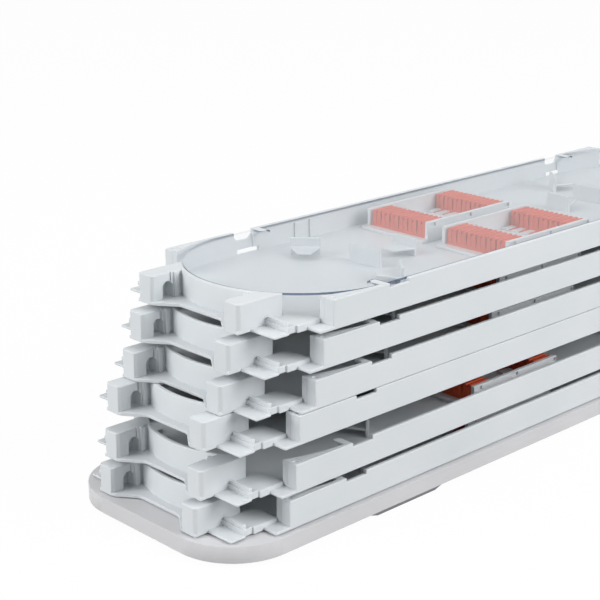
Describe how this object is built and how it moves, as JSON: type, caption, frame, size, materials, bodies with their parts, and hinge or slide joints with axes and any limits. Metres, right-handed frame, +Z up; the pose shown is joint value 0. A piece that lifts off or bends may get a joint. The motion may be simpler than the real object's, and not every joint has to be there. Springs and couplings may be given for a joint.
{
  "type": "hinged fibre splice tray stack",
  "caption": "Stack of hinged fibre splice trays with round-ended fibre bays, corner ports and comb holders on a base plate, closed by a clear lid.",
  "frame": {"origin": "middle of the base plate, on the floor under its feet", "axes": "+X along the trays towards the hinge, +Y across them, +Z up"},
  "size_m": [0.45, 0.114, 0.1045],
  "materials": {
    "tray_abs": "white moulded ABS, satin",
    "holder_abs": "white moulded ABS, satin",
    "comb_orange": "orange elastomer, matt",
    "lid_clear": "clear polycarbonate sheet",
    "base_grey": "pale grey moulded plastic, satin",
    "foot_grey": "grey rubber",
    "bracket_grey": "pale grey moulded plastic, satin",
    "screw_steel": "zinc-plated steel"
  },
  "bodies": {
    "stack": {"base_feet": "foot_grey", "base_plate": "base_grey", "bracket_screws": "screw_steel", "hinge_bracket": "bracket_grey", "splice_comb_far_left_2": "comb_orange", "splice_comb_far_left_3": "comb_orange", "splice_comb_far_left_4": "comb_orange", "splice_comb_far_left_5": "comb_orange", "splice_comb_far_left_6": "comb_orange", "splice_comb_far_right_2": "comb_orange", "splice_comb_far_right_3": "comb_orange", "splice_comb_far_right_4": "comb_orange", "splice_comb_far_right_5": "comb_orange", "splice_comb_far_right_6": "comb_orange", "splice_comb_near_left_2": "comb_orange", "splice_comb_near_left_3": "comb_orange", "splice_comb_near_left_4": "comb_orange", "splice_comb_near_left_5": "comb_orange", "splice_comb_near_left_6": "comb_orange", "splice_comb_near_right_2": "comb_orange", "splice_comb_near_right_3": "comb_orange", "splice_comb_near_right_4": "comb_orange", "splice_comb_near_right_5": "comb_orange", "splice_comb_near_right_6": "comb_orange", "splice_holder_far_2": "holder_abs", "splice_holder_far_3": "holder_abs", "splice_holder_far_4": "holder_abs", "splice_holder_far_5": "holder_abs", "splice_holder_far_6": "holder_abs", "splice_holder_near_2": "holder_abs", "splice_holder_near_3": "holder_abs", "splice_holder_near_4": "holder_abs", "splice_holder_near_5": "holder_abs", "splice_holder_near_6": "holder_abs", "tray_2": "tray_abs", "tray_3": "tray_abs", "tray_4": "tray_abs", "tray_5": "tray_abs", "tray_6": "tray_abs"},
    "top_tray": {"tray_1": "tray_abs", "splice_comb_far_left_1": "comb_orange", "splice_comb_far_right_1": "comb_orange", "splice_comb_near_left_1": "comb_orange", "splice_comb_near_right_1": "comb_orange", "splice_holder_far_1": "holder_abs", "splice_holder_near_1": "holder_abs"},
    "lid_body": {"lid": "lid_clear"}
  },
  "joints": [
    {"name": "top_tray_hinge", "type": "hinge", "parent": "stack", "child": "top_tray", "pos_m": [0.1915, 0, 0.0985], "axis": [0, 1, 0], "range_deg": [0, 90]},
    {"name": "lid_lift", "type": "slide", "parent": "top_tray", "child": "lid_body", "axis": [0, 0, 1], "range_m": [0, 0.03]}
  ]
}
